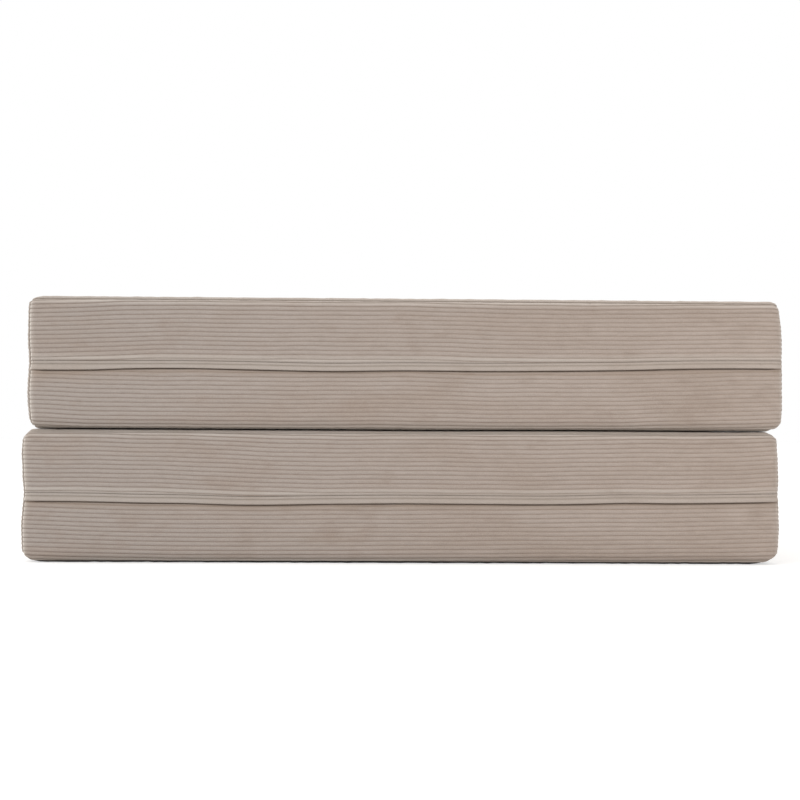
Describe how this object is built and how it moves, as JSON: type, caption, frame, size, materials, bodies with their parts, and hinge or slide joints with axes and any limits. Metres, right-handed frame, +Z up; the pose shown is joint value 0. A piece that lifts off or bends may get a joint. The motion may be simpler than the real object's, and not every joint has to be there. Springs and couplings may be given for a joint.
{
  "type": "sofa bed",
  "caption": "Fold-out foam sofa bed: two stacked slabs in ribbed corduroy covers with zips under flaps, hinged along the back to open into a flat bed.",
  "frame": {"origin": "middle of the underside, on the floor, under the centre of the folded sofa bed's box", "axes": "+X along the length, -Y towards the zips at the front, +Y towards the hinge at the back, +Z up"},
  "size_m": [1.378, 0.9505, 0.4865],
  "materials": {
    "corduroy": "wide-wale corduroy",
    "base_cloth": "dotted non-slip cloth",
    "liner": "thin knitted liner",
    "support_foam": "open-cell foam",
    "comfort_foam": "soft open-cell foam",
    "zip_tape": "woven tape",
    "zip_coil": "satin",
    "zip_metal": "satin"
  },
  "bodies": {
    "lower_slab": {"lower_support_foam": "support_foam", "lower_comfort_foam": "comfort_foam", "lower_foam_liner": "liner", "lower_top_panel": "corduroy", "lower_base_panel": "base_cloth", "lower_front_upper_panel": "corduroy", "lower_front_lower_panel": "corduroy", "lower_left_end_panel": "corduroy", "lower_right_end_panel": "corduroy", "lower_back_panel": "corduroy", "lower_flap_tacks": "corduroy", "lower_zip_facings": "zip_tape", "lower_zip_tape_upper": "zip_tape", "lower_zip_tape_lower": "zip_tape", "lower_zip_coils": "zip_coil", "lower_zip_stops": "zip_metal", "hinge_strip": "corduroy"},
    "upper_slab": {"upper_support_foam": "support_foam", "upper_comfort_foam": "comfort_foam", "upper_foam_liner": "liner", "upper_seat_panel": "corduroy", "upper_sleeping_panel": "corduroy", "upper_front_upper_panel": "corduroy", "upper_front_lower_panel": "corduroy", "upper_left_end_panel": "corduroy", "upper_right_end_panel": "corduroy", "upper_back_panel": "corduroy", "upper_flap_tacks": "corduroy", "upper_zip_facings": "zip_tape", "upper_zip_tape_upper": "zip_tape", "upper_zip_tape_lower": "zip_tape", "upper_zip_coils": "zip_coil", "upper_zip_stops": "zip_metal"},
    "lower_flap": {"lower_zip_flap": "corduroy"},
    "lower_slider": {"lower_zip_slider": "zip_metal"},
    "lower_pull": {"lower_zip_pull": "zip_metal"},
    "upper_flap": {"upper_zip_flap": "corduroy"},
    "upper_slider": {"upper_zip_slider": "zip_metal"},
    "upper_pull": {"upper_zip_pull": "zip_metal"}
  },
  "joints": [
    {"name": "fold", "type": "hinge", "parent": "lower_slab", "child": "upper_slab", "pos_m": [0, 0.47225, 0.24025], "axis": [-1, 0, 0], "range_deg": [0, 180], "deforming": ["hinge_strip"]},
    {"name": "lower_flap_lift", "type": "hinge", "parent": "lower_slab", "child": "lower_flap", "pos_m": [0, -0.4721, 0.12505], "axis": [-1, 0, 0], "range_deg": [0, 75], "stiffness_Nm_per_rad": 0.004},
    {"name": "lower_zip_slide", "type": "slide", "parent": "lower_slab", "child": "lower_slider", "axis": [1, 0, 0], "range_m": [-1.25, 0]},
    {"name": "lower_pull_swing", "type": "hinge", "parent": "lower_slider", "child": "lower_pull", "pos_m": [0.621, -0.4688, 0.1192], "axis": [0, 0, 1], "range_deg": [0, 24]},
    {"name": "upper_flap_lift", "type": "hinge", "parent": "upper_slab", "child": "upper_flap", "pos_m": [0, -0.4721, 0.36555], "axis": [-1, 0, 0], "range_deg": [0, 75], "stiffness_Nm_per_rad": 0.004},
    {"name": "upper_zip_slide", "type": "slide", "parent": "upper_slab", "child": "upper_slider", "axis": [1, 0, 0], "range_m": [-1.25, 0]},
    {"name": "upper_pull_swing", "type": "hinge", "parent": "upper_slider", "child": "upper_pull", "pos_m": [0.629, -0.4688, 0.3597], "axis": [0, 0, 1], "range_deg": [0, 24]}
  ],
  "couplings": [
    {"joint": "lower_pull_swing", "follows": "lower_flap_lift", "ratio": 0.3},
    {"joint": "upper_pull_swing", "follows": "upper_flap_lift", "ratio": 0.3}
  ]
}
